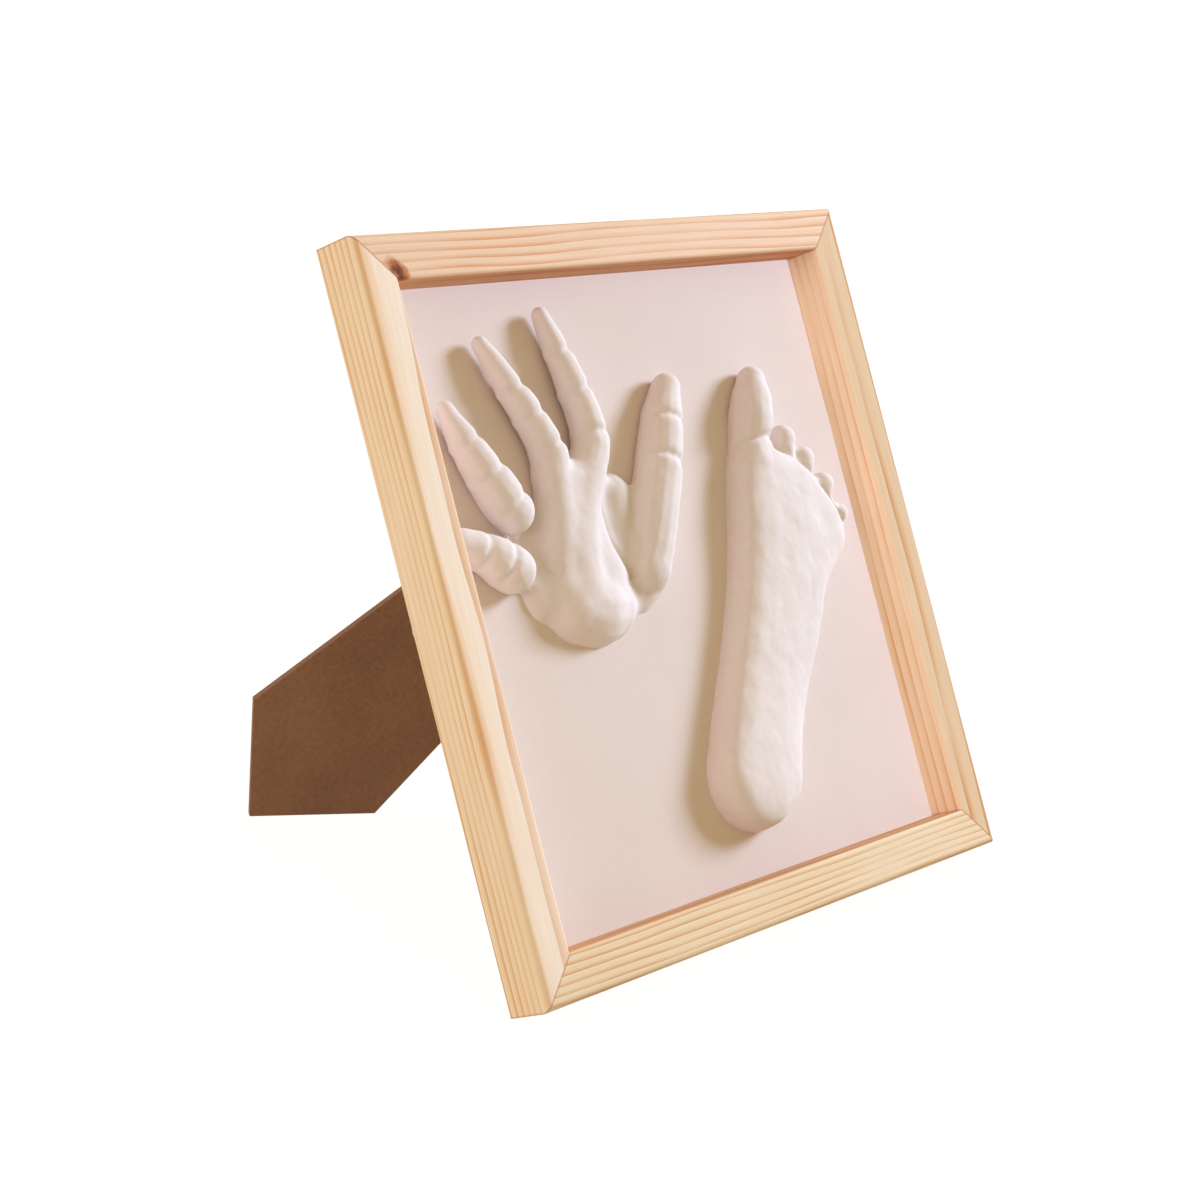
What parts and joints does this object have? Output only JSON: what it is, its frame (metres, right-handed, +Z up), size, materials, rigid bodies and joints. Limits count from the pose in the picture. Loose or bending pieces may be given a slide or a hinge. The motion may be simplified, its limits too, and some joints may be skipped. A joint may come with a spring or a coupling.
{
  "type": "baby handprint frame",
  "caption": "Square wooden box frame leaning on a folding back strut, with plaster casts of a baby's hand and foot standing on the card inside.",
  "frame": {"origin": "the middle of the footprint, on the surface that the frame stands on", "axes": "+X to the right as seen from the front, +Y to the back, +Z up; the picture leans back with its strut open"},
  "size_m": [0.18, 0.15, 0.1681],
  "materials": {
    "pine": "sanded bare pine",
    "card": "matte card",
    "plaster": "matte cast plaster",
    "hardboard": "smooth brown hardboard",
    "steel": "zinc plated"
  },
  "bodies": {
    "frame": {"bottom_rail": "pine", "top_rail": "pine", "left_stile": "pine", "right_stile": "pine", "corner_v_nails": "steel", "mount_card": "card", "hand_cast": "plaster", "foot_cast": "plaster", "backboard": "hardboard", "hinge_board_leaf": "steel", "board_leaf_rivets": "steel", "turn_button_screws": "steel"},
    "strut": {"easel_strut": "hardboard", "hinge_strut_leaf": "steel", "hinge_pin": "steel", "strut_leaf_rivets": "steel"},
    "button_top": {"turn_button_top": "steel"},
    "button_right": {"turn_button_right": "steel"},
    "button_bottom": {"turn_button_bottom": "steel"},
    "button_left": {"turn_button_left": "steel"}
  },
  "joints": [
    {"name": "strut_fold", "type": "hinge", "parent": "frame", "child": "strut", "pos_m": [0.04605, -0.00518, 0.1236], "axis": [0.6428, -0.3199, -0.696], "range_deg": [-45, 0]},
    {"name": "button_top_turn", "type": "hinge", "parent": "frame", "child": "button_top", "pos_m": [0, 0.00932, 0.16019], "axis": [0, 0.9086, -0.4176], "range_deg": [-90, 90]},
    {"name": "button_right_turn", "type": "hinge", "parent": "frame", "child": "button_right", "pos_m": [0.0863, -0.02672, 0.08178], "axis": [0, 0.9086, -0.4176], "range_deg": [-90, 90]},
    {"name": "button_bottom_turn", "type": "hinge", "parent": "frame", "child": "button_bottom", "pos_m": [0, -0.06276, 0.00336], "axis": [0, 0.9086, -0.4176], "range_deg": [-90, 90]},
    {"name": "button_left_turn", "type": "hinge", "parent": "frame", "child": "button_left", "pos_m": [-0.0863, -0.02672, 0.08178], "axis": [0, 0.9086, -0.4176], "range_deg": [-90, 90]}
  ]
}
